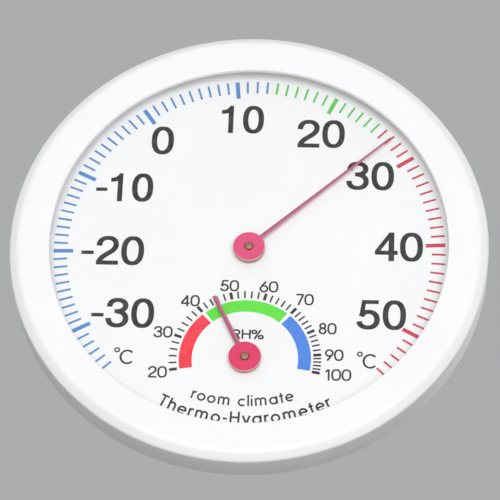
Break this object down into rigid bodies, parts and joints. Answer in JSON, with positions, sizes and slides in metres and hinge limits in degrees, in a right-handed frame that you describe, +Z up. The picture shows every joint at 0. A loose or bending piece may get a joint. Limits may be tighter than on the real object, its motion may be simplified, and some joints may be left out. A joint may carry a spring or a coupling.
{
  "type": "dial thermo-hygrometer",
  "caption": "Round white wall or desk dial with a temperature needle over a full scale and a smaller humidity needle over a coloured comfort scale.",
  "frame": {"origin": "centre of the flat back, behind the temperature needle's shaft", "axes": "+Z up to 12 o'clock, +X to the dial's right as it is read, and the dial looks along -Y; the back lies on Y = 0"},
  "size_m": [0.1356, 0.02, 0.1356],
  "materials": {
    "white_plastic": "moulded, satin gloss",
    "clear_lens": "clear, polished",
    "dial_white": "matt, printed",
    "dial_print_dark": "printed ink",
    "dial_print_blue": "printed ink",
    "dial_print_green": "printed ink",
    "dial_print_red": "printed ink",
    "pointer_paint": "painted sheet",
    "brass": "turned, slightly dull",
    "steel": "plated",
    "bimetal": "rolled strip",
    "humidity_strip": "coated strip",
    "grey_plastic": "moulded"
  },
  "bodies": {
    "case": {"front_bezel": "white_plastic", "lens": "clear_lens", "rear_case": "white_plastic", "dial_plate": "dial_white", "bridge_screws": "steel", "temperature_bridge": "steel", "temperature_bush": "brass", "humidity_bridge": "steel", "humidity_bush": "brass"},
    "stand": {"stand_leg": "white_plastic"},
    "temperature_adjustment": {"temperature_adjuster": "grey_plastic", "temperature_coil_stud": "brass", "temperature_coil": "bimetal"},
    "temperature_needle": {"temperature_arbor": "brass", "temperature_collet": "brass", "temperature_pointer_hub": "brass", "temperature_pointer": "pointer_paint"},
    "humidity_adjustment": {"humidity_adjuster": "grey_plastic", "humidity_coil_stud": "brass", "humidity_coil": "humidity_strip"},
    "humidity_needle": {"humidity_arbor": "brass", "humidity_collet": "brass", "humidity_pointer_hub": "brass", "humidity_pointer": "pointer_paint"}
  },
  "joints": [
    {"name": "temperature_adjust", "type": "hinge", "parent": "case", "child": "temperature_adjustment", "pos_m": [0, -0.0013, 0], "axis": [0, 1, 0], "range_deg": [-18, 18]},
    {"name": "temperature_reading", "type": "hinge", "parent": "temperature_adjustment", "child": "temperature_needle", "pos_m": [0, -0.0137, 0], "axis": [0, 1, 0], "range_deg": [-181.6, 87.1], "stiffness_Nm_per_rad": 0.001, "deforming": ["temperature_coil"]},
    {"name": "humidity_adjust", "type": "hinge", "parent": "case", "child": "humidity_adjustment", "pos_m": [0, -0.0013, -0.0345], "axis": [0, 1, 0], "range_deg": [-18, 18]},
    {"name": "humidity_reading", "type": "hinge", "parent": "humidity_adjustment", "child": "humidity_needle", "pos_m": [0, -0.0137, -0.0345], "axis": [0, 1, 0], "range_deg": [-73.8, 126.8], "stiffness_Nm_per_rad": 0.001, "deforming": ["humidity_coil"]},
    {"name": "stand_fold", "type": "hinge", "parent": "case", "child": "stand", "pos_m": [0, -0.0017, 0], "axis": [1, 0, 0], "range_deg": [0, 28]}
  ]
}
